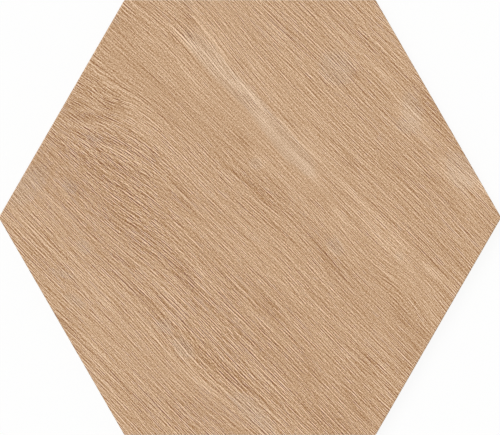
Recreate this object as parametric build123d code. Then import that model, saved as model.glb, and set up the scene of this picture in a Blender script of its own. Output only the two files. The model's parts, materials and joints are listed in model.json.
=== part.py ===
from build123d import *
import os
from math import cos, radians

# Hexagonal porcelain tile, pressed and fired in one piece.
# It lies on its back with the face up. The origin is under its middle, at the crests of the back's ribs.
# Two of its six corners lie on the X axis, and two of its six sides face along Y.

# Driving dimensions, in millimetres and degrees
across_flats = 200.0  # from one side to the opposite side
thickness = 8.0  # from the crests of the back's ribs to the face
corner_radius = 1.0  # rounding of the six upright corners
face_arris = 0.6  # rounding where the face turns into the sides
side_land = 3.5  # height of the upright band of each side, measured down from the face
back_inset = 0.7  # how far a side leans in, from that band down to the back
back_chamfer = 0.6  # bevel round the back, as high as it is wide
key_rings = 6  # rings of keying cells round the middle one
key_rib = 2.5  # crest of the rib between two cells
key_border = 6.0  # width of the plain band between the outer cells' tips and the bevel
key_depth = 0.7  # depth of the cells
key_draft = 35.0  # lean of the cells' walls from upright

# Sizes that follow from them
sides = 6
side_half_angle = 180 / sides  # from the middle of a side to its corner
slant = cos(radians(side_half_angle))  # a hexagon's apothem over its corner radius
apothem = across_flats / 2
back_apothem = apothem - back_inset - back_chamfer

# The rings of cells fill the back as far as the plain band, so their pitch follows from it.
# Along the apothem lie the rings' rows, and then half of the outer cell, whose tip points at the side.
key_reach = back_apothem - key_border
key_pitch = (key_reach + key_rib / 2 / slant) / (key_rings * slant + 1 / 2 / slant)
key_across = key_pitch - key_rib  # one cell, from flat to flat, at the crests of the ribs
key_row = key_pitch * slant


def rounded_hexagon(inset, height):
    """The tile's outline at a height, drawn in from the sides by inset."""
    sharp = RegularPolygon(apothem - inset, sides, major_radius=False)
    return Pos(0, 0, height) * fillet(sharp.vertices(), corner_radius)


def pressed_blank():
    """The plain tile: an upright band under the face, sides that lean in below it, and a bevelled back."""
    band_foot = rounded_hexagon(0, thickness - side_land)
    bevel_top = rounded_hexagon(back_inset, back_chamfer)
    bevel_foot = rounded_hexagon(back_inset + back_chamfer, 0)
    band = extrude(band_foot, side_land)
    face_edges = band.faces().sort_by(Axis.Z)[-1].edges()
    band = fillet(face_edges, face_arris)
    lean = loft([bevel_top, band_foot], ruled=True)
    bevel = loft([bevel_foot, bevel_top], ruled=True)
    return band + lean + bevel


def key_centres():
    """Middles of the keying cells: whole rings of a honeycomb whose corners point at the tile's corners."""
    for row in range(-key_rings, key_rings + 1):
        for step in range(-key_rings, key_rings + 1):
            if abs(row + step) <= key_rings:
                yield (step + row / 2) * key_pitch, row * key_row


def key_cells():
    """The shallow cells that leave the ribs standing on the back, so that adhesive keys to it."""
    crest = RegularPolygon(key_across / 2, sides, major_radius=False, rotation=side_half_angle)
    cell = extrude(crest, key_depth, taper=key_draft)
    return [Pos(x, y, 0) * cell for x, y in key_centres()]


porcelain_tile = pressed_blank() - key_cells()

os.makedirs("parts", exist_ok=True)
export_step(porcelain_tile, "parts/porcelain_tile.step")
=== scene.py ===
import json
from math import atan2, cos, exp, pi, radians, sin, tan

import bmesh
import bpy
from mathutils import Matrix, Vector


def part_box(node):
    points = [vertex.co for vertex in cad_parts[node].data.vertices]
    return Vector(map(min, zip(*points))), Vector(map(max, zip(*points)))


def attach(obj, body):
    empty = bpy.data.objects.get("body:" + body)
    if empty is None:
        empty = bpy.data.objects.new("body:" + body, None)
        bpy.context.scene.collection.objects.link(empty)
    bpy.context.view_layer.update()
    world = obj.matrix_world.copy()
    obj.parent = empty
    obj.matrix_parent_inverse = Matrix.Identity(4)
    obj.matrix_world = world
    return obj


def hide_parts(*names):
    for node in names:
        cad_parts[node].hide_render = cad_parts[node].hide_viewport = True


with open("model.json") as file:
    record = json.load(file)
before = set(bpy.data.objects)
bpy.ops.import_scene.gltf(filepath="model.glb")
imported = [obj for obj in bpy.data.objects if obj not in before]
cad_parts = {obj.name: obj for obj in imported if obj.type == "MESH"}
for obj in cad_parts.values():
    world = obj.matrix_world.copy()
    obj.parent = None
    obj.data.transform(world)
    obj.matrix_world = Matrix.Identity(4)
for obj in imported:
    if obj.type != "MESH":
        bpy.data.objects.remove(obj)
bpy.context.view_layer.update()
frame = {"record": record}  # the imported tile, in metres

mm = 0.001  # sizes are written in millimetres, and Blender's lengths are in metres
cadLow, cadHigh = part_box("porcelain_tile")
mountAt = {mount["name"]: Vector(mount["pos_m"]) for mount in frame["record"]["mounts"]}
sides = 6
halfSide = radians(180 / sides)  # from the middle of a side to its corner
sideTurns = [(2 * side + 1) * halfSide for side in range(sides)]
sideFacing = [Vector((cos(turn), sin(turn), 0)) for turn in sideTurns]  # outwards from each side
noiseMean = 0.5  # what Blender's noise is on average
noiseRange = (0.3, 0.7)  # where most of it lies
seedStep, seedStart = (7.3, 3.1, 1.0), 0.37  # each seed looks at another place of the noise
weld = 0.02  # millimetres, under which two points are one


def addNode(tree, kind, inputs=None, **settings):
    # One node with its settings, and its inputs, which are values or other nodes' outputs
    node = tree.nodes.new(kind)
    for name, value in settings.items():
        setattr(node, name, value)
    for socket, value in (inputs or {}).items():
        if isinstance(value, bpy.types.NodeSocket):
            tree.links.new(value, node.inputs[socket])
        else:
            node.inputs[socket].default_value = value
    return node


def linear(hexColour, step=0):
    # An sRGB hex value as the linear colour that shaders work in, made lighter or darker by step of 255
    channels = [min(max((int(hexColour[i:i + 2], 16) + step) / 255, 0), 1) for i in (1, 3, 5)]
    return [c / 12.92 if c <= 0.04045 else ((c + 0.055) / 1.055) ** 2.4 for c in channels] + [1.0]


def newSocket(tree, name, kind, way="INPUT"):
    return tree.interface.new_socket(name, in_out=way, socket_type="NodeSocket" + kind)


def finishTree(name):
    # An empty material to build a finish in
    material = bpy.data.materials.new(name)
    material.use_nodes = True
    material.node_tree.nodes.clear()
    return material, material.node_tree


# The oak grain, which the print and the relief share. Places are millimetres from the tile's middle.
grain = {
    "slope": 45.5,  # degrees that it falls from left to right
    "sway": {"length": 75, "spacing": 26, "seed": 40, "push": 4.0},
    "bends": [  # where it runs round something: the place, the reach along and across the grain, and the push
        {"x": -98, "y": 69, "along": 45, "across": 26, "push": 15.0},
        {"x": -66, "y": 53, "along": 9, "across": 8, "push": 1.5},
        {"x": -69, "y": 9, "along": 35, "across": 25, "push": 4.0},
        {"x": -28, "y": 91, "along": 25, "across": 22, "push": -3.5},
        {"x": 73, "y": -33, "along": 14, "across": 10, "push": -2.5},
        {"x": -26, "y": -73, "along": 30, "across": 14, "push": 3.0},
        {"x": 22, "y": -12, "along": 25, "across": 15, "push": -1.5},
    ],
}


def grainNoise(tree, flow, pattern):
    # Noise from 0 to 1, drawn out along the grain
    seed = [pattern["seed"] * step for step in seedStep]
    stretched = addNode(tree, "ShaderNodeVectorMath", {
        0: flow, 1: (1 / pattern["length"], 1 / pattern["spacing"], 0), 2: (*seed[:2], seed[2] + seedStart)},
        operation="MULTIPLY_ADD").outputs[0]
    return addNode(tree, "ShaderNodeTexNoise", {"Vector": stretched, "Scale": 1.0, "Detail": 0.0}).outputs[0]


def swell(tree, place, middle, turn, reach):
    # 1 at the middle and fading to nothing over the reach along and across a direction
    turned = addNode(tree, "ShaderNodeVectorRotate", {
        "Vector": place, "Center": (*middle, 0), "Angle": -turn}, rotation_type="Z_AXIS").outputs[0]
    moved = addNode(tree, "ShaderNodeVectorMath", {
        0: turned, 1: (1 / reach[0], 1 / reach[1], 0), 2: (-middle[0] / reach[0], -middle[1] / reach[1], 0)},
        operation="MULTIPLY_ADD").outputs[0]
    away = addNode(tree, "ShaderNodeVectorMath", {0: moved, 1: moved},
                   operation="DOT_PRODUCT").outputs["Value"]
    return addNode(tree, "ShaderNodeMath", {0: exp(-1), 1: away}, operation="POWER").outputs[0]


def grainFlow(tree, inMm):
    # Millimetres along the grain and across it, with the grain's bends
    turn = -radians(grain["slope"])
    turned = addNode(tree, "ShaderNodeVectorRotate", {"Vector": inMm, "Angle": -turn},
                     rotation_type="Z_AXIS").outputs[0]
    straight = addNode(tree, "ShaderNodeSeparateXYZ", {0: turned}).outputs
    sway = grain["sway"]
    across = addNode(tree, "ShaderNodeMath", {
        0: grainNoise(tree, turned, sway), 1: sway["push"], 2: straight["Y"]},
        operation="MULTIPLY_ADD").outputs[0]
    for bend in grain["bends"]:
        near = swell(tree, inMm, (bend["x"], bend["y"]), turn, (bend["along"], bend["across"]))
        across = addNode(tree, "ShaderNodeMath", {0: near, 1: bend["push"], 2: across},
                         operation="MULTIPLY_ADD").outputs[0]
    return addNode(tree, "ShaderNodeCombineXYZ", {"X": straight["X"], "Y": across}).outputs[0]


def stroke(start, end, width, **amounts):
    # A streak or a zone of the print from one place to another, and what it changes
    return {"from": start, "to": end, "width": width, **amounts}


# The print on the face. Tones are steps of 255 lighter or darker than the base colour.
oakPrint = {
    "base": "#C7A483",
    "darkest": -84,
    "lightest": 56,
    "spread": (0.95, 1.06, 1.12),  # dark lines lose a little more green and blue than red
    "pull": {"light": 0.94, "dark": 1.06},  # dark lines go further than light ones
    "rampSteps": 8,
    "sheen": 0.053,  # what the glaze's reflection of the white surroundings adds to the print
    "blackest": 0.01,
    "seeds": {"grit": 15, "longLines": 3, "shortLines": 8},  # of the first line in each of these lists
    "longLines": [  # each is a line with its light edge beside it, at a step along and across the grain
        {"length": 45, "spacing": 0.31, "tone": 72, "edge": (0, 0.31)},
        {"length": 12, "spacing": 0.31, "tone": 92, "edge": (0, 0.31)},
        {"length": 45, "spacing": 0.45, "tone": 26},
        {"length": 60, "spacing": 1.4, "tone": 16},
        {"length": 70, "spacing": 3.0, "tone": 9},
    ],
    "shortLines": [
        {"length": 4.5, "spacing": 0.31, "tone": 92, "edge": (0, 0.31)},
        {"length": 1.6, "spacing": 0.31, "tone": 70, "edge": (0, 0.31)},
        {"length": 8, "spacing": 0.45, "tone": 10},
    ],
    "grit": [
        {"length": 0.42, "spacing": 0.42, "tone": 70, "edge": (0.42, 0)},
    ],
    "fray": {"length": 14, "spacing": 0.9, "seed": 20, "push": 2.4},  # fibres at the edges of streaks
    "streaks": [  # places and widths are in millimetres
        stroke((-38, 89), (-32, 85), 1.6, tone=12),  # the fork and the main pale streak
        stroke((-32, 83), (-23, 77), 3.0, tone=20),
        stroke((-30, 98), (-26, 89), 4.0, tone=-16),
        stroke((-30, 89), (-20, 77), 1.4, tone=-16),
        stroke((-27, 98), (-24, 92), 1.4, tone=12),
        stroke((-24, 90), (-16, 79), 3.0, tone=12),
        stroke((-16, 79), (-10, 70), 3.5, tone=12),
        stroke((-25, 98), (-15, 85), 1.4, tone=-17),
        stroke((-15, 87), (-9, 80), 1.2, tone=4),
        stroke((-8, 76), (-2, 68), 1.2, tone=-17),
        stroke((-6, 81), (0, 74), 1.0, tone=-10),
        stroke((-28.5, 83.5), (-26.5, 82), 1.4, tone=-14),
        stroke((-38, 84), (-33, 81), 2.0, tone=-9),
        stroke((-42, 69), (-36, 62), 1.3, tone=12),
        stroke((-34, 73), (-25, 61), 1.3, tone=17),
        stroke((-25, 80), (-12, 65), 6.0, tone=16),
        stroke((-16, 70), (-9, 62), 1.6, tone=13),
        stroke((-9, 64), (-2, 58), 4.0, tone=19),
        stroke((-2, 59), (6, 50), 2.4, tone=22),
        stroke((0, 60), (13, 47), 1.0, tone=-14),
        stroke((2, 50), (9, 42), 5.0, tone=9),
        stroke((2, 49), (11, 39), 1.8, tone=9),
        stroke((5, 50), (11, 44), 1.3, tone=9),
        stroke((8, 42), (16, 34), 2.6, tone=8),
        stroke((10, 43), (15, 38), 1.0, tone=-2),
        stroke((14, 30), (18, 26), 1.2, tone=9),
        stroke((13, 46), (20, 38), 1.2, tone=14),
        stroke((20, 38), (34, 25), 1.6, tone=13),
        stroke((15, 47), (21, 40), 0.9, tone=-16),
        stroke((16, 33), (25, 24), 2.4, tone=14),
        stroke((24, 25), (33, 15), 3.0, tone=16),
        stroke((36, 7), (45, -3), 2.4, tone=19),
        stroke((44, -2), (53, -10), 2.2, tone=12),
        stroke((49, 4), (62, -9), 3.0, tone=17),
        stroke((61, -8), (72, -18), 6.0, tone=12),
        stroke((79, -21), (87, -28), 2.2, tone=21),
        stroke((70, -20), (80, -32), 4.0, tone=5),
        stroke((42, 17), (53, 5), 2.2, tone=12),
        stroke((12, 77), (19, 69), 2.0, tone=9),
        stroke((20, 68), (28, 60), 2.0, tone=12),
        stroke((25, 65), (30, 59), 1.0, tone=-12),
        stroke((-25, 76), (45, 14), 40, tone=4),
        stroke((-27, 64), (-19, 53), 2.0, tone=5),
        stroke((-43, 98), (-33, 90), 4.0, tone=4),
        stroke((38, 88), (56, 70), 3.0, tone=7),  # the upper right
        stroke((56, 70), (68, 60), 2.2, tone=16),
        stroke((64, 59), (74, 48), 3.0, tone=9),
        stroke((69, 50), (81, 40), 6.0, tone=14),
        stroke((78, 38), (84, 33), 3.0, tone=8),
        stroke((86, 28), (91, 23), 2.5, tone=7),
        stroke((90, 22), (107, 12), 5.0, tone=18),
        stroke((47, 67), (49, 64), 3.5, tone=-16),
        stroke((43, 27), (49, 22), 3.5, tone=-12),
        stroke((60, 59), (64, 56), 3.0, tone=-3),
        stroke((78, 57), (89, 42), 5.0, tone=-13),
        stroke((80, 20), (86, 16), 3.5, tone=-12),
        stroke((76, 32), (82, 27), 3.0, tone=-8),
        stroke((88, 12), (98, 2), 5.0, tone=-7),
        stroke((66, 25), (70, 21), 2.0, tone=-9),
        stroke((25, 98), (40, 76), 3.0, tone=-7),
        stroke((6, 97), (24, 82), 8.0, tone=-3),
        stroke((84, 2), (100, -16), 10, tone=2),
        stroke((30, 56), (42, 44), 4.0, tone=6),
        stroke((94, 12), (104, 2), 2.5, tone=10),
        stroke((-7, 80), (6, 66), 5.0, tone=5),
        stroke((29, 74), (35, 68), 4.0, tone=7),
        stroke((46, 42), (57, 31), 5.0, tone=5),
        stroke((93, 21), (112, 0), 14, tone=4),
        stroke((-85, 52), (-77, 51), 2.5, tone=-18),  # the whorl
        stroke((-87, 48), (-67, 45), 3.6, tone=-17),
        stroke((-68, 53), (-62, 51), 3.0, tone=-13),
        stroke((-61, 55), (-58, 49), 2.5, tone=-15),
        stroke((-86, 42), (-80, 40), 2.0, tone=-13),
        stroke((-80, 39), (-70, 36), 2.5, tone=-16),
        stroke((-71, 36), (-54, 33), 3.0, tone=-14),
        stroke((-57, 43), (-54, 41), 2.0, tone=-16),
        stroke((-80, 43), (-59, 42), 2.2, tone=11),
        stroke((-84, 49), (-70, 49), 2.0, tone=10),
        stroke((-71, 33), (-58, 31), 1.6, tone=10),
        stroke((-92, 38), (-80, 30), 8.0, tone=-6),
        stroke((-78, 30), (-62, 22), 4.0, tone=-13),
        stroke((-63, 25), (-48, 17), 3.0, tone=-10),
        stroke((-45, 30), (-43, 26), 3.0, tone=-16),
        stroke((-100, 25), (-92, 20), 5.0, tone=-8),
        stroke((-66, 54), (-65, 45), 5.0, tone=-8),
        stroke((-57, 50), (-44, 38), 12, tone=6),
        stroke((-95, 28), (-35, 0), 24, tone=-5),
        stroke((-75, 24), (-56, 13), 6.0, tone=-6),
        stroke((-58, 29), (-50, 24), 2.5, tone=8),
        stroke((-52, 70), (-38, 58), 3.0, tone=-7),
        stroke((-38, 58), (-26, 48), 6.0, tone=-5),
        stroke((-61, 40), (-53, 37), 3.0, tone=-3),
        stroke((-51, 84), (-40, 80), 4.0, tone=6),
        stroke((-80, 62), (-70, 58), 6.0, tone=-8),
        stroke((-62, 96), (-56, 84), 8.0, tone=-3),
        stroke((-110, 6), (-95, -9), 10, tone=5),  # the left and its pale band
        stroke((-83, -22), (-72, -31), 4.0, tone=5),
        stroke((-78, -32), (-60, -43), 6.0, tone=5),
        stroke((-71, -25), (-61, -35), 2.0, tone=2),
        stroke((-59, -38), (-47, -48), 3.5, tone=6),
        stroke((-50, -24), (-44, -28), 3.0, tone=4),
        stroke((-38, -33), (-34, -36), 4.0, tone=6),
        stroke((-42, 17), (-36, 13), 2.0, tone=9),
        stroke((-81, -2), (-66, -16), 2.0, tone=-7),
        stroke((-66, -16), (-50, -24), 2.5, tone=-12),
        stroke((-73, 6), (-59, -4), 4.0, tone=-7),
        stroke((-83, 17), (-76, 10), 5.0, tone=-9),
        stroke((-60, -4), (-42, -20), 9.0, tone=-9),
        stroke((-37, -19), (-24, -34), 5.0, tone=-16),
        stroke((-52, -31), (-40, -44), 4.0, tone=-9),
        stroke((-61, -39), (-52, -46), 2.5, tone=-14),
        stroke((-100, -5), (-86, -18), 2.0, tone=-8),
        stroke((-97, -14), (-76, -34), 8.0, tone=-6),
        stroke((-97, -7), (-82, -22), 1.6, tone=8),
        stroke((-89, -43), (-78, -53), 6.0, tone=-10),
        stroke((-37, 18), (-28, 10), 2.2, tone=-14),
        stroke((-34, 9), (-20, -2), 3.0, tone=-5),
        stroke((-38, 10), (-26, 5), 4.0, tone=-7),
        stroke((-34, -2), (-24, -12), 4.0, tone=8),
        stroke((-99, -2), (-86, -14), 3.0, tone=-7),
        stroke((-64, -28), (-54, -38), 3.0, tone=8),
        stroke((-46, -50), (-25, -76), 9.0, tone=4),  # the lower part
        stroke((-36, -57), (-26, -67), 2.0, tone=10),
        stroke((-28, -71), (-14, -83), 3.0, tone=16),
        stroke((-10, -83), (8, -98), 6.0, tone=4),
        stroke((-13, -63), (-4, -72), 1.5, tone=9),
        stroke((31, -52), (38, -59), 2.5, tone=13),
        stroke((42, -60), (48, -66), 4.0, tone=11),
        stroke((58, -50), (66, -60), 2.0, tone=10),
        stroke((55, -72), (63, -83), 5.0, tone=8),
        stroke((82, -35), (85, -49), 4.0, tone=8),
        stroke((-76, -56), (-60, -90), 8.0, tone=7),
        stroke((-28, -58), (-12, -70), 4.0, tone=-10),
        stroke((-14, -68), (1, -81), 4.0, tone=-16),
        stroke((5, -37), (13, -46), 3.5, tone=-12),
        stroke((-10, -48), (12, -66), 4.0, tone=-7),
        stroke((-31, -82), (-17, -93), 5.0, tone=-10),
        stroke((-50, -82), (-46, -86), 2.5, tone=-10),
        stroke((22, -60), (33, -75), 3.0, tone=-12),
        stroke((43, -78), (53, -93), 4.0, tone=-14),
        stroke((24, -88), (50, -99), 9.0, tone=-8),
        stroke((53, -62), (58, -69), 3.0, tone=-12),
        stroke((65, -39), (75, -52), 4.5, tone=-12),
        stroke((80, -52), (72, -68), 5.0, tone=-8),
        stroke((-25, -20), (45, -95), 26, tone=-4),
        stroke((-13, -30), (-8, -43), 8.0, tone=-9),
        stroke((2, -50), (14, -68), 3.0, tone=-5),
        stroke((18, -68), (29, -79), 3.0, tone=-7),
        stroke((-2, -70), (6, -80), 4.0, tone=10),
        stroke((-38, -43), (-24, -58), 3.0, tone=-8),
        stroke((-16, -45), (-10, -50), 4.0, tone=8),
        stroke((63, -62), (72, -72), 4.0, tone=-7),
        stroke((66, -51), (73, -58), 3.0, tone=-7),
        stroke((18, -83), (27, -92), 4.0, tone=6),
        stroke((-54, -58), (-38, -74), 6.0, tone=-3),
        stroke((26, -24), (50, -48), 10, tone=-3),
        stroke((-36, -80), (-10, -98), 12, tone=-3),
        stroke((74, -12), (86, -25), 2.4, tone=-9),
        stroke((-36, -54), (-24, -68), 6.0, tone=2),
        stroke((-40, -84), (-25, -97), 10, tone=-5),
        stroke((60, -33), (75, -46), 3.0, tone=6),
        stroke((-6, 38), (0, 32), 2.6, tone=-16),  # the middle
        stroke((-3, 19), (12, 6), 4.5, tone=-12),
        stroke((30, -12), (43, -28), 3.2, tone=-15),
        stroke((80, -5), (98, -22), 2.4, tone=-5),
        stroke((-48, 53), (-33, 42), 2.5, tone=-8),
        stroke((3, 29), (8, 22), 4.0, tone=6),
        stroke((63, 10), (80, -8), 3.0, tone=-6),
        stroke((7, -25), (12, -29), 4.0, tone=5),
        stroke((30, -3), (47, -24), 1.6, tone=-6),
        stroke((42, -15), (49, -21), 4.0, tone=8),
        stroke((34, -13), (40, -19), 2.0, tone=12),
        stroke((12, 15), (17, 9), 4.0, tone=-8),
        stroke((-24, 44), (-4, 28), 10, tone=-4),
        stroke((-16, 27), (-7, 20), 1.2, tone=-11),
        stroke((28, 9), (38, 3), 5.0, tone=-8),
        stroke((46, -1), (54, -14), 4.0, tone=-7),
        stroke((-8, -8), (6, -22), 10, tone=4),
        stroke((55, -13), (80, -35), 9.0, tone=3),
        stroke((-5, -25), (5, -35), 6.0, tone=-4),
        stroke((17, 48), (23, 40), 3.0, tone=-8),
        stroke((4, 21), (10, 15), 3.5, tone=-7),
    ],
    "coarse": [  # where the lines stand out, or are faint
        stroke((-62, 92), (-15, 44), 30, long=-0.45, short=-0.31),
        stroke((-15, 50), (35, 20), 28, long=-0.43, short=-0.31),
        stroke((-28, 78), (36, 9), 6, long=-0.15, short=-0.35),
        stroke((55, 28), (70, 12), 14, long=-0.25, short=-0.25),
        stroke((55, -25), (85, -55), 25, long=-0.33, short=-0.25),
        stroke((-82, 58), (-60, 48), 22, long=-0.69, short=0.19),
        stroke((-100, 40), (-40, 25), 16, long=-0.05, short=0.75),
        stroke((-90, 24), (-40, -5), 26, long=-0.20, short=0.50),
        stroke((-55, -18), (-8, -62), 20, long=0.62, short=0.19),
        stroke((-8, -62), (18, -98), 16, long=0.44, short=0.12),
        stroke((-100, 5), (-60, -25), 28, long=0.25, short=0.12),
        stroke((8, 98), (22, 75), 10, long=0.50, short=0.00),
        stroke((-35, 98), (-28, 80), 10, long=0.38, short=0.00),
        stroke((-70, 82), (-52, 60), 16, long=-0.35, short=-0.35),
        stroke((10, 68), (38, 48), 16, long=-0.30, short=-0.30),
        stroke((-22, -24), (-8, -48), 14, long=0.30, short=0.20),
        stroke((-48, -84), (-6, -97), 14, long=0.45, short=0.35),
        stroke((8, -12), (20, -24), 12, long=-0.25, short=-0.20),
        stroke((70, 0), (96, -28), 14, long=-0.20, short=-0.20),
        stroke((-95, -22), (-68, -36), 12, long=0.30, short=0.15),
        stroke((-82, 12), (-68, 0), 12, long=0.30, short=0.20),
        stroke((-4, 58), (6, 49), 6, long=0.40, short=0.20),
        stroke((42, 66), (60, 92), 14, long=0.20, short=0.25),
    ],
    "greyed": [  # where the brown is greyer, as in weathered oak
        stroke((-29, 85), (-12, 66), 8, share=1.0),
        stroke((-14, 68), (4, 50), 7, share=1.0),
        stroke((2, 51), (18, 33), 7, share=1.0),
        stroke((15, 36), (29, 20), 8, share=1.0),
        stroke((34, 74), (45, 63), 13, share=1.0),
        stroke((73, 58), (76, 39), 9, share=0.9),
        stroke((67, 44), (72, 40), 4, share=0.6),
        stroke((92, 29), (102, 14), 12, share=1.0),
        stroke((44, 93), (48, 87), 4, share=0.5),
        stroke((-36, 100), (-22, 98), 4, share=0.5),
        stroke((-63, 93), (-60, 88), 5, share=0.6),
        stroke((-77, 37), (-67, 36), 4, share=0.7),
        stroke((-108, 6), (-94, 24), 10, share=0.9),
        stroke((-86, 16), (-80, 12), 6, share=0.9),
        stroke((-79, -11), (-74, -16), 5, share=0.9),
        stroke((-93, -24), (-80, -28), 4, share=0.8),
        stroke((-86, -35), (-76, -42), 4, share=0.8),
        stroke((-42, -47), (-37, -52), 5, share=0.9),
        stroke((-34, -56), (-27, -64), 7, share=1.0),
        stroke((-8, -81), (10, -97), 8, share=1.0),
        stroke((36, -10), (42, -17), 6, share=0.9),
        stroke((66, -16), (71, -20), 4, share=0.6),
        stroke((70, -41), (76, -48), 6, share=0.4),
        stroke((0, 26), (5, 23), 5, share=0.9),
    ],
    "greyShift": (-0.007, 0.010, 0.021),  # what greying adds to red, green and blue
    "greyEdge": (0.25, 0.65),  # shares at which greying starts and is full
    "matt": {"length": 30, "spacing": 1.4, "seed": 30, "least": 0.52, "most": 0.68},  # roughness
    "pores": {"length": 12, "spacing": 0.31, "seed": 4, "depth": 0.01},  # dents under the second long line
}
zoneFade = 0.6  # how far a zone reaches, as a share of its length and its width
zonesInGroup = 16  # a large tree is slow to link, so zones come in small groups of nodes


def grainLines(tree, flow, lines, seed):
    # Lines of the grain laid over each other, as a tone that is nothing on average
    tone = 0.0
    for number, line in enumerate(lines, seed):
        pattern = {**line, "seed": number}
        drawn = grainNoise(tree, flow, pattern)
        ground = noiseMean
        if "edge" in line:
            beside = addNode(tree, "ShaderNodeVectorMath", {0: flow, 1: (*line["edge"], 0)},
                             operation="ADD").outputs[0]
            ground = grainNoise(tree, beside, pattern)
        drawn = addNode(tree, "ShaderNodeMath", {0: drawn, 1: ground}, operation="SUBTRACT").outputs[0]
        tone = addNode(tree, "ShaderNodeMath", {0: drawn, 1: line["tone"], 2: tone},
                       operation="MULTIPLY_ADD").outputs[0]
    return tone


def zoneGroup(zones, amount):
    # What a few zones add up to at a place, each fading across its width and past its ends
    group = bpy.data.node_groups.new("drawn " + amount, "GeometryNodeTree")
    newSocket(group, "Place", "Vector")
    newSocket(group, "Total", "Float", "OUTPUT")
    place = addNode(group, "NodeGroupInput").outputs["Place"]
    total = 0.0
    for zone in zones:
        start, end = Vector(zone["from"]), Vector(zone["to"])
        run = end - start
        reach = (run.length * zoneFade, zone["width"] * zoneFade)
        near = swell(group, place, (start + end) / 2, atan2(run.y, run.x), reach)
        total = addNode(group, "ShaderNodeMath", {0: near, 1: zone[amount], 2: total},
                        operation="MULTIPLY_ADD").outputs[0]
    addNode(group, "NodeGroupOutput", {"Total": total})
    return group


def drawnZones(tree, place, zones, amount, total):
    # What all the zones add to a total at a place
    for first in range(0, len(zones), zonesInGroup):
        group = zoneGroup(zones[first:first + zonesInGroup], amount)
        drawn = addNode(tree, "GeometryNodeGroup", {"Place": place}, node_tree=group).outputs["Total"]
        total = addNode(tree, "ShaderNodeMath", {0: drawn, 1: total}, operation="ADD").outputs[0]
    return total


def frayedPlace(tree, inMm, flow):
    # Places moved a little across the grain, so that streaks end in fibres
    fray, slope = oakPrint["fray"], radians(grain["slope"])
    pull = addNode(tree, "ShaderNodeMath", {0: grainNoise(tree, flow, fray), 1: noiseMean},
                   operation="SUBTRACT").outputs[0]
    push = (fray["push"] * sin(slope), fray["push"] * cos(slope), 0)
    return addNode(tree, "ShaderNodeVectorMath", {0: pull, 1: push, 2: inMm},
                   operation="MULTIPLY_ADD").outputs[0]


def keepPrint(tree, face, inMm, flow):
    # Keeps the grain's course and the print's drawn zones on the face's points, where the glaze reads them
    frayed = frayedPlace(tree, inMm, flow)
    kept = {"grainFlow": ("FLOAT_VECTOR", flow)}
    for name, zones, amount, start in (
            ("streakTone", "streaks", "tone", 0.0), ("longShare", "coarse", "long", 1.0),
            ("shortShare", "coarse", "short", 1.0), ("greyShare", "greyed", "share", 0.0)):
        kept[name] = ("FLOAT", drawnZones(tree, frayed, oakPrint[zones], amount, start))
    for name, (kind, value) in kept.items():
        face = addNode(tree, "GeometryNodeStoreNamedAttribute", {
            "Geometry": face, "Name": name, "Value": value}, data_type=kind, domain="POINT").outputs[0]
    return face


def printedGlaze():
    # Porcelain with an oak grain printed under a matt glaze: even hue, fine lines and hardly any gloss
    material, tree = finishTree("matt glaze over inkjet oak print")
    flow = addNode(tree, "ShaderNodeAttribute", attribute_name="grainFlow").outputs["Vector"]
    drawn = {name: addNode(tree, "ShaderNodeAttribute", attribute_name=name).outputs["Fac"]
             for name in ("streakTone", "longShare", "shortShare", "greyShare")}
    tone = drawn["streakTone"]
    strengths = {"grit": 1.0, "longLines": drawn["longShare"], "shortLines": drawn["shortShare"]}
    for lines, strength in strengths.items():
        fine = grainLines(tree, flow, oakPrint[lines], oakPrint["seeds"][lines])
        tone = addNode(tree, "ShaderNodeMath", {0: fine, 1: strength, 2: tone},
                       operation="MULTIPLY_ADD").outputs[0]
    darkest, lightest, pull = oakPrint["darkest"], oakPrint["lightest"], oakPrint["pull"]
    level = addNode(tree, "ShaderNodeMapRange", {
        "Value": tone, "From Min": darkest, "From Max": lightest}).outputs[0]
    ramp = addNode(tree, "ShaderNodeValToRGB", {0: level})
    stops = ramp.color_ramp.elements
    for step in range(1, oakPrint["rampSteps"]):
        stops.new(step / oakPrint["rampSteps"])
    for stop in stops:
        step = darkest + stop.position * (lightest - darkest)
        step *= pull["light"] if step > 0 else pull["dark"]
        seen = [linear(oakPrint["base"], step * share)[i] for i, share in enumerate(oakPrint["spread"])]
        stop.color = [max(c - oakPrint["sheen"], oakPrint["blackest"]) for c in seen] + [1.0]
    greyFrom, greyTo = oakPrint["greyEdge"]
    greyed = addNode(tree, "ShaderNodeMapRange", {
        "Value": drawn["greyShare"], "From Min": greyFrom, "From Max": greyTo},
        interpolation_type="SMOOTHSTEP").outputs[0]
    colour = addNode(tree, "ShaderNodeVectorMath", {
        0: greyed, 1: oakPrint["greyShift"], 2: ramp.outputs["Color"]}, operation="MULTIPLY_ADD").outputs[0]
    matt, pores = oakPrint["matt"], oakPrint["pores"]
    dull = addNode(tree, "ShaderNodeMapRange", {
        "Value": grainNoise(tree, flow, matt), "From Min": noiseRange[0], "From Max": noiseRange[1],
        "To Min": matt["least"], "To Max": matt["most"]}).outputs[0]
    dents = addNode(tree, "ShaderNodeBump", {
        "Height": grainNoise(tree, flow, pores), "Distance": pores["depth"] * mm}).outputs[0]
    shader = addNode(tree, "ShaderNodeBsdfPrincipled", {
        "Base Color": colour, "Roughness": dull, "IOR": 1.5, "Normal": dents})
    addNode(tree, "ShaderNodeOutputMaterial", {"Surface": shader.outputs[0]})
    return material


# The body under the glaze, which shows on the sides and the back
porcelain = {
    "dark": "#B9A58C",
    "light": "#D3C2AA",
    "grit": {"size": 0.9, "depth": 0.04},
    "wash": {  # kiln wash on the crests of the ribs, in patches
        "patch": 14, "edge": (0.35, 0.65), "reach": 0.25, "white": (0.22, 0.26, 0.30)},
}


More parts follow.
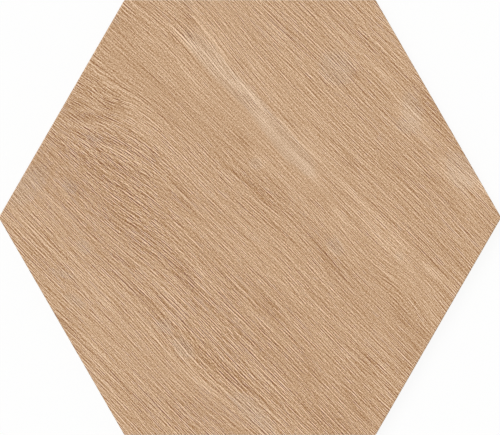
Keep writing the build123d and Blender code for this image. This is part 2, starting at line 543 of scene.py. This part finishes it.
def pressedBody():
    # Unglazed porcelain as it leaves the kiln: beige, dry and gritty, whitish on the back's crests
    material, tree = finishTree("pressed unglazed porcelain")
    place = addNode(tree, "ShaderNodeTexCoord").outputs["Object"]
    inMm = addNode(tree, "ShaderNodeVectorMath", {0: place, "Scale": 1 / mm}, operation="SCALE").outputs[0]
    grit, wash = porcelain["grit"], porcelain["wash"]
    grains = addNode(tree, "ShaderNodeTexNoise", {
        "Vector": inMm, "Scale": 1 / grit["size"], "Detail": 2.0}).outputs[0]
    ramp = addNode(tree, "ShaderNodeValToRGB", {0: grains})
    stops = ramp.color_ramp.elements
    for stop, position, shade in zip(stops, noiseRange, ("dark", "light")):
        stop.position, stop.color = position, linear(porcelain[shade])
    rise = addNode(tree, "ShaderNodeSeparateXYZ", {0: inMm}).outputs["Z"]
    crest = addNode(tree, "ShaderNodeMapRange", {
        "Value": rise, "From Max": wash["reach"], "To Min": 1.0, "To Max": 0.0}).outputs[0]
    patches = addNode(tree, "ShaderNodeTexNoise", {
        "Vector": inMm, "Scale": 1 / wash["patch"], "Detail": 3.0}).outputs[0]
    left = addNode(tree, "ShaderNodeMapRange", {
        "Value": patches, "From Min": wash["edge"][0], "From Max": wash["edge"][1]}).outputs[0]
    share = addNode(tree, "ShaderNodeMath", {0: crest, 1: left}, operation="MULTIPLY").outputs[0]
    colour = addNode(tree, "ShaderNodeVectorMath", {
        0: share, 1: wash["white"], 2: ramp.outputs["Color"]}, operation="MULTIPLY_ADD").outputs[0]
    rough = addNode(tree, "ShaderNodeBump", {"Height": grains, "Distance": grit["depth"] * mm}).outputs[0]
    shader = addNode(tree, "ShaderNodeBsdfPrincipled", {
        "Base Color": colour, "Roughness": 0.85, "IOR": 1.5, "Normal": rough})
    addNode(tree, "ShaderNodeOutputMaterial", {"Surface": shader.outputs[0]})
    return material


def grownMesh(start, tree, values):
    # The plain mesh that a tree makes from a starting mesh
    holder = bpy.data.objects.new(tree.name, start)
    bpy.context.scene.collection.objects.link(holder)
    modifier = holder.modifiers.new(tree.name, "NODES")
    modifier.node_group = tree
    identifiers = {item.name: item.identifier for item in tree.interface.items_tree if item.in_out == "INPUT"}
    for name, value in values.items():
        modifier[identifiers[name]] = value
    grown = bpy.data.meshes.new_from_object(holder.evaluated_get(bpy.context.evaluated_depsgraph_get()))
    holder.modifiers.remove(modifier)
    bpy.data.objects.remove(holder)
    return grown


# The tile as the solid has it, and the face's mesh
tile = {
    "acrossFlats": (cadHigh.y - cadLow.y) / mm,
    "thickness": (cadHigh.z - cadLow.z) / mm,
    "cornerRadius": 1.0,
    "cornerSteps": 3,  # points from a corner to where its rounding ends
    "cornerSlack": 0.05,  # a point as near as this is the corner
    "splitShare": 0.95,  # of an edge, past which it isn't split again
    "arris": 0.6,  # rounding where the face turns into the sides
    "arrisSteps": 3,
    "land": 3.5,  # upright band of the sides, down from the face
    "lean": 0.7,  # how far the sides lean in below it
    "bevel": 0.6,  # round the back
    "gridAlong": 1.2,
    "gridAcross": 0.4,
}
apothem = tile["acrossFlats"] / 2
faceReach = apothem - tile["arris"]  # from the middle of the face to where the arris begins

# Relief of the face, which dies out towards the arris
relief = {
    "grooves": {"length": 22, "spacing": 1.0, "seed": 1, "depth": 0.10},
    "waves": {"length": 70, "spacing": 4.5, "seed": 2, "depth": 0.10},
    "fade": 1.2,
}


def splitCorners(mesh):
    # More points on the outline beside its corners, for the rounding
    nearCorner = faceReach / cos(halfSide) * mm - tile["cornerSlack"] * mm
    tips = [v for v in mesh.verts if v.co.xy.length > nearCorner]
    for tip in tips:
        for beside in [edge.other_vert(tip) for edge in tip.link_edges if edge.is_boundary]:
            for step in range(tile["cornerSteps"], 0, -1):
                edge = mesh.edges.get((tip, beside))
                away = tile["cornerRadius"] * tan(halfSide) * mm * step / tile["cornerSteps"]
                if away < tile["splitShare"] * edge.calc_length():
                    beside = bmesh.utils.edge_split(edge, tip, away / edge.calc_length())[1]


def clippedFace():
    # A grid laid along the grain and cut to the flat part of the face
    mesh = bmesh.new()
    reach = apothem / cos(halfSide)
    lay = Matrix.Rotation(-radians(grain["slope"]), 4, "Z") @ Matrix.Diagonal((reach * mm, reach * mm, 1, 1))
    lay.translation = (0, 0, tile["thickness"] * mm)
    bmesh.ops.create_grid(mesh, x_segments=round(2 * reach / tile["gridAlong"]),
                          y_segments=round(2 * reach / tile["gridAcross"]), size=1, matrix=lay)
    for out in sideFacing:
        bmesh.ops.bisect_plane(mesh, geom=mesh.verts[:] + mesh.edges[:] + mesh.faces[:], dist=weld * mm,
                               plane_co=out * faceReach * mm, plane_no=out, clear_outer=True)
    splitCorners(mesh)
    flat = bpy.data.meshes.new("clippedFace")
    mesh.to_mesh(flat)
    mesh.free()
    return flat


def reliefTree():
    # Prints the face and presses the grain's grooves and waves into it
    tree = bpy.data.node_groups.new("grainRelief", "GeometryNodeTree")
    newSocket(tree, "Geometry", "Geometry")
    for name in ("Groove depth", "Wave depth", "Fade", "Flat reach"):
        newSocket(tree, name, "Float")
    newSocket(tree, "Finish", "Material")
    newSocket(tree, "Geometry", "Geometry", "OUTPUT")
    given = addNode(tree, "NodeGroupInput").outputs
    place = addNode(tree, "GeometryNodeInputPosition").outputs[0]
    inMm = addNode(tree, "ShaderNodeVectorMath", {0: place, "Scale": 1 / mm}, operation="SCALE").outputs[0]
    flow = grainFlow(tree, inMm)
    deep = 0.0
    for pattern, depth in (("grooves", "Groove depth"), ("waves", "Wave depth")):
        deep = addNode(tree, "ShaderNodeMath", {
            0: grainNoise(tree, flow, relief[pattern]), 1: given[depth], 2: deep},
            operation="MULTIPLY_ADD").outputs[0]
    outwards = 0.0
    for facing in sideFacing[:sides // 2]:
        reach = addNode(tree, "ShaderNodeVectorMath", {0: place, 1: facing},
                        operation="DOT_PRODUCT").outputs["Value"]
        reach = addNode(tree, "ShaderNodeMath", {0: reach}, operation="ABSOLUTE").outputs[0]
        outwards = addNode(tree, "ShaderNodeMath", {0: outwards, 1: reach}, operation="MAXIMUM").outputs[0]
    room = addNode(tree, "ShaderNodeMath", {0: given["Flat reach"], 1: outwards},
                   operation="SUBTRACT").outputs[0]
    share = addNode(tree, "ShaderNodeMapRange", {
        "Value": room, "From Max": given["Fade"], "To Max": -1.0}, interpolation_type="SMOOTHSTEP").outputs[0]
    down = addNode(tree, "ShaderNodeMath", {0: deep, 1: share}, operation="MULTIPLY").outputs[0]
    offset = addNode(tree, "ShaderNodeCombineXYZ", {"Z": down}).outputs[0]
    face = keepPrint(tree, given["Geometry"], inMm, flow)
    face = addNode(tree, "GeometryNodeSetPosition", {"Geometry": face, "Offset": offset}).outputs[0]
    face = addNode(tree, "GeometryNodeRealizeInstances", {"Geometry": face}).outputs[0]
    face = addNode(tree, "GeometryNodeSetMaterial", {
        "Geometry": face, "Material": given["Finish"]}).outputs[0]
    addNode(tree, "NodeGroupOutput", {"Geometry": face})
    return tree


# The honeycomb on the back that adhesive keys to
keying = {
    "pitch": 2 * mountAt["bedding_back"].x / mm,  # that mount is on the first rib from the middle
    "rings": 6,
    "rib": 2.5,
    "depth": 0.7,
    "draft": 35.0,  # lean of the cells' walls, in degrees
}


def keyingTree():
    # One cell with its half ribs, repeated on rings round the middle of the back
    tree = bpy.data.node_groups.new("keyingBack", "GeometryNodeTree")
    newSocket(tree, "Geometry", "Geometry")
    for name in ("Pitch", "Mouth", "Bottom", "Depth"):
        newSocket(tree, name, "Float")
    newSocket(tree, "Rings", "Int")
    newSocket(tree, "Finish", "Material")
    newSocket(tree, "Geometry", "Geometry", "OUTPUT")
    given = addNode(tree, "NodeGroupInput").outputs
    across = addNode(tree, "ShaderNodeMath", {0: given["Rings"], 1: 2.0}, operation="MULTIPLY").outputs[0]
    points = addNode(tree, "ShaderNodeMath", {0: across, 1: 1.0}, operation="ADD").outputs[0]
    lattice = addNode(tree, "GeometryNodeMeshGrid", {
        "Size X": across, "Size Y": across, "Vertices X": points, "Vertices Y": points}).outputs["Mesh"]
    place = addNode(tree, "GeometryNodeInputPosition").outputs[0]
    step = addNode(tree, "ShaderNodeSeparateXYZ", {0: place}).outputs
    diagonal = addNode(tree, "ShaderNodeMath", {0: step["X"], 1: step["Y"]}, operation="ADD").outputs[0]
    diagonal = addNode(tree, "ShaderNodeMath", {0: diagonal}, operation="ABSOLUTE").outputs[0]
    limit = addNode(tree, "ShaderNodeMath", {0: given["Rings"], 1: 0.5}, operation="ADD").outputs[0]
    # Cutting two corners off the square grid leaves whole rings of cells
    outside = addNode(tree, "ShaderNodeMath", {0: diagonal, 1: limit}, operation="GREATER_THAN").outputs[0]
    lattice = addNode(tree, "GeometryNodeDeleteGeometry", {"Geometry": lattice, "Selection": outside},
                      domain="POINT").outputs[0]
    x = addNode(tree, "ShaderNodeMath", {0: step["Y"], 1: 0.5, 2: step["X"]},  # each row is half a step along
                operation="MULTIPLY_ADD").outputs[0]
    y = addNode(tree, "ShaderNodeMath", {0: step["Y"], 1: cos(halfSide)}, operation="MULTIPLY").outputs[0]
    spread = addNode(tree, "ShaderNodeCombineXYZ", {"X": x, "Y": y}).outputs[0]
    spread = addNode(tree, "ShaderNodeVectorMath", {0: spread, "Scale": given["Pitch"]},
                     operation="SCALE").outputs[0]
    lattice = addNode(tree, "GeometryNodeSetPosition", {"Geometry": lattice, "Position": spread}).outputs[0]
    radius = addNode(tree, "ShaderNodeMath", {0: given["Pitch"], 1: 0.5 / cos(halfSide)},
                     operation="MULTIPLY").outputs[0]
    cell = addNode(tree, "GeometryNodeMeshCircle", {"Vertices": sides, "Radius": radius},
                   fill_type="NGON").outputs[0]
    cell = addNode(tree, "GeometryNodeTransform", {"Geometry": cell, "Rotation": (0, 0, halfSide)}).outputs[0]
    rim = addNode(tree, "GeometryNodeExtrudeMesh", {"Mesh": cell, "Offset Scale": 0.0}, mode="FACES")
    cell = addNode(tree, "GeometryNodeScaleElements", {
        "Geometry": rim.outputs["Mesh"], "Selection": rim.outputs["Top"], "Scale": given["Mouth"]}).outputs[0]
    rise = addNode(tree, "ShaderNodeCombineXYZ", {"Z": given["Depth"]}).outputs[0]
    wall = addNode(tree, "GeometryNodeExtrudeMesh", {
        "Mesh": cell, "Selection": rim.outputs["Top"], "Offset": rise, "Offset Scale": 1.0}, mode="FACES")
    cell = addNode(tree, "GeometryNodeScaleElements", {
        "Geometry": wall.outputs["Mesh"], "Selection": wall.outputs["Top"],
        "Scale": given["Bottom"]}).outputs[0]
    comb = addNode(tree, "GeometryNodeInstanceOnPoints", {"Points": lattice, "Instance": cell}).outputs[0]
    comb = addNode(tree, "GeometryNodeRealizeInstances", {"Geometry": comb}).outputs[0]
    comb = addNode(tree, "GeometryNodeMergeByDistance", {"Geometry": comb, "Distance": weld * mm}).outputs[0]
    comb = addNode(tree, "GeometryNodeSetMaterial", {
        "Geometry": comb, "Material": given["Finish"]}).outputs[0]
    addNode(tree, "NodeGroupOutput", {"Geometry": comb})
    return tree


# The sheet that the tile's surface is laid out on: the face with the sides round it, and the back in a corner
sheet = {
    "size": 250,
    "faceAt": (-125, -110),  # the sheet's corner, seen from the middle of the face
    "backShare": 0.27,  # the plain back needs less room
    "backAt": (-31.8, -222.3),
}


def roundedOutline(spot, reach, radius):
    # Where the line from the middle to spot crosses a rounded hexagon, reach from its middle to a side
    turn = atan2(spot.y, spot.x) / (2 * halfSide)
    corner = round(turn) * 2 * halfSide
    facing = (turn // 1 + 0.5) * 2 * halfSide
    out = Vector((cos(facing), sin(facing)))
    sharp = spot * (reach / spot.dot(out))
    if abs(sharp.cross(out)) <= (reach - radius) * tan(halfSide):
        return sharp
    core = Vector((cos(corner), sin(corner))) * ((reach - radius) / cos(halfSide))
    return core + (sharp - core).normalized() * radius


def sideLevels():
    # The tile's section from the face round to the back: reach, corner radius, height and finish
    levels = []
    for step in range(tile["arrisSteps"] + 1):
        turn = pi / 2 * step / tile["arrisSteps"]
        drawnIn = tile["arris"] * (1 - sin(turn))
        levels.append((apothem - drawnIn, tile["cornerRadius"] - drawnIn,
                       tile["thickness"] - tile["arris"] * (1 - cos(turn)), 0))
    levels.append((apothem, tile["cornerRadius"], tile["thickness"] - tile["land"], 1))
    levels.append((apothem - tile["lean"], tile["cornerRadius"], tile["bevel"], 1))
    levels.append((apothem - tile["lean"] - tile["bevel"], tile["cornerRadius"], 0, 1))
    return levels


def layOut(mesh, sideFaces, unrolled):
    # Lays the surface out flat on the sheet
    layer = mesh.loops.layers.uv.new("OFBake")
    for number, polygon in enumerate(mesh.faces):
        for corner in polygon.loops:
            place = corner.vert.co.xy / mm
            if number < sideFaces:
                spot = unrolled.get(corner.vert, place) - Vector(sheet["faceAt"])
            else:
                spot = Vector((-place.x, place.y)) * sheet["backShare"] - Vector(sheet["backAt"])
            corner[layer].uv = spot / sheet["size"]


def wholeTile(face, comb, glaze, body):
    # Joins the face and the back by rings round the sides
    mesh = bmesh.new()
    mesh.from_mesh(face)
    for polygon in mesh.faces:
        polygon.material_index, polygon.smooth = 0, True
    rim = sorted((v for v in mesh.verts if v.is_boundary), key=lambda v: atan2(v.co.y, v.co.x))
    spots = [v.co.xy / mm for v in rim]
    unrolled = {}  # where the sides' points lie when the sides are folded out round the face
    course = mesh.verts.layers.float_vector["grainFlow"]
    turn = Matrix.Rotation(radians(grain["slope"]), 3, "Z")
    levels = sideLevels()
    flatReach, flatRadius, flatHeight, _ = levels[0]
    for vertex, spot in zip(rim, spots):
        vertex.co = (*roundedOutline(spot, flatReach, flatRadius) * mm, flatHeight * mm)
    ring, down = rim, 0.0
    for (lastReach, _, lastHeight, _), (reach, radius, height, finish) in zip(levels, levels[1:]):
        down += Vector((reach - lastReach, height - lastHeight)).length
        above, ring = ring, []
        for spot, vertex in zip(spots, rim):
            ring.append(mesh.verts.new((*roundedOutline(spot, reach, radius) * mm, height * mm), vertex))
            unrolled[ring[-1]] = roundedOutline(spot, flatReach + down, flatRadius + down)
            offset = (ring[-1].co - vertex.co).xy / mm
            ring[-1][course] += turn @ Vector((*offset, 0))  # the grain runs on over the arris
        for i in range(len(ring)):
            polygon = mesh.faces.new((above[i - 1], ring[i - 1], ring[i], above[i]))
            polygon.material_index, polygon.smooth = finish, True
            mesh.edges.get((ring[i - 1], ring[i])).smooth = finish == 0
    foot = [mesh.edges.get((ring[i - 1], ring[i])) for i in range(len(ring))]
    sideFaces = len(mesh.faces)
    mesh.from_mesh(comb)
    mesh.faces.ensure_lookup_table()
    combEdges = {e for polygon in mesh.faces[sideFaces:] for e in polygon.edges if e.is_boundary}
    bmesh.ops.triangle_fill(mesh, use_beauty=True, edges=foot + sorted(combEdges, key=lambda e: e.index))
    mesh.faces.ensure_lookup_table()
    for polygon in mesh.faces[sideFaces:]:
        polygon.material_index, polygon.smooth = 1, False
    bmesh.ops.recalc_face_normals(mesh, faces=mesh.faces[:])
    layOut(mesh, sideFaces, unrolled)
    openEdges = sum(len(e.link_faces) != 2 for e in mesh.edges)
    print("tile joined:", len(mesh.faces), "faces,", openEdges, "open edges,",
          round(mesh.calc_volume() / mm ** 3), "cubic mm")
    whole = bpy.data.meshes.new("firedTile")
    mesh.to_mesh(whole)
    mesh.free()
    whole.materials.append(glaze)
    whole.materials.append(body)
    piece = bpy.data.objects.new("fired_tile", whole)
    bpy.context.scene.collection.objects.link(piece)
    return piece


glaze = printedGlaze()
body = pressedBody()
print("finishes made")
face = grownMesh(clippedFace(), reliefTree(), {
    "Groove depth": relief["grooves"]["depth"] * mm,
    "Wave depth": relief["waves"]["depth"] * mm,
    "Fade": relief["fade"] * mm,
    "Flat reach": faceReach * mm,
    "Finish": glaze,
})
print("face pressed:", len(face.polygons), "faces")
mouth = keying["pitch"] - keying["rib"]
bottom = mouth - 2 * keying["depth"] * tan(radians(keying["draft"]))
comb = grownMesh(bpy.data.meshes.new("empty"), keyingTree(), {
    "Pitch": keying["pitch"] * mm,
    "Mouth": mouth / keying["pitch"],
    "Bottom": bottom / mouth,
    "Depth": keying["depth"] * mm,
    "Rings": keying["rings"],
    "Finish": body,
})
print("back pressed:", len(comb.polygons), "faces")
piece = wholeTile(face, comb, glaze, body)
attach(piece, "root")
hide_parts("porcelain_tile")

# Floor, light and camera
studio = {
    "floor": 6.0,  # metres
    "floorGap": 0.05,  # millimetres under the tile
    "paper": "#F4F4F2",
    "glow": 0.9,  # how far the paper is lit up to plain white for the eye
    "sky": 0.62,  # share of the light that comes from all round
    "lamp": 0.38,
    "lampTurn": 135.0,  # from the upper left
    "lampHeight": 58.0,
    "lampSoftness": 40.0,
    "pixel": 0.4594,  # millimetres of the face in each pixel of the image
    "imageWidth": 500,
    "lens": 180.0,
}
scene = bpy.context.scene
scene.view_settings.view_transform = "Standard"


def seenRay(tree):
    # 1 for what the camera sees, straight or in a reflection, and 0 for light that falls on things
    ray = addNode(tree, "ShaderNodeLightPath").outputs
    seen = addNode(tree, "ShaderNodeMath", {0: ray["Is Camera Ray"], 1: ray["Is Glossy Ray"]},
                   operation="MAXIMUM").outputs[0]
    return addNode(tree, "ShaderNodeMath", {0: seen, 1: ray["Is Transmission Ray"]},
                   operation="MAXIMUM").outputs[0]


half = studio["floor"] / 2
floorMesh = bpy.data.meshes.new("floor")
corners = [(-half, -half, 0), (half, -half, 0), (half, half, 0), (-half, half, 0)]
floorMesh.from_pydata(corners, [], [range(len(corners))])
floor = bpy.data.objects.new("floor", floorMesh)
floor.location.z = -studio["floorGap"] * mm
scene.collection.objects.link(floor)
paper, tree = finishTree("white paper sweep")  # plain white all over, with a faint shadow under the tile
share = addNode(tree, "ShaderNodeMath", {0: seenRay(tree), 1: studio["glow"]},
                operation="MULTIPLY").outputs[0]
matt = addNode(tree, "ShaderNodeBsdfDiffuse", {"Color": linear(studio["paper"])}).outputs[0]
glow = addNode(tree, "ShaderNodeEmission", {"Color": (1, 1, 1, 1), "Strength": 1.0}).outputs[0]
mixed = addNode(tree, "ShaderNodeMixShader", {0: share, 1: matt, 2: glow}).outputs[0]
addNode(tree, "ShaderNodeOutputMaterial", {"Surface": mixed})
floorMesh.materials.append(paper)

world = bpy.data.worlds.new("studio")
world.use_nodes = True
scene.world = world
tree = world.node_tree
tree.nodes.clear()
level = addNode(tree, "ShaderNodeMapRange", {"Value": seenRay(tree), "To Min": studio["sky"]}).outputs[0]
sky = addNode(tree, "ShaderNodeBackground", {"Color": (1, 1, 1, 1), "Strength": level}).outputs[0]
addNode(tree, "ShaderNodeOutputWorld", {"Surface": sky})

lamp = bpy.data.lights.new("softbox", "SUN")
height = radians(studio["lampHeight"])
lamp.energy = studio["lamp"] * pi / sin(height)
lamp.angle = radians(studio["lampSoftness"])
softbox = bpy.data.objects.new("softbox", lamp)
softbox.rotation_euler = (0, pi / 2 - height, radians(studio["lampTurn"]))
scene.collection.objects.link(softbox)

lens = bpy.data.cameras.new("camera")
lens.lens = studio["lens"]
camera = bpy.data.objects.new("camera", lens)
shown = studio["pixel"] * studio["imageWidth"] * mm
camera.location.z = tile["thickness"] * mm + shown * lens.lens / lens.sensor_width
scene.collection.objects.link(camera)
scene.camera = camera
print("studio set")
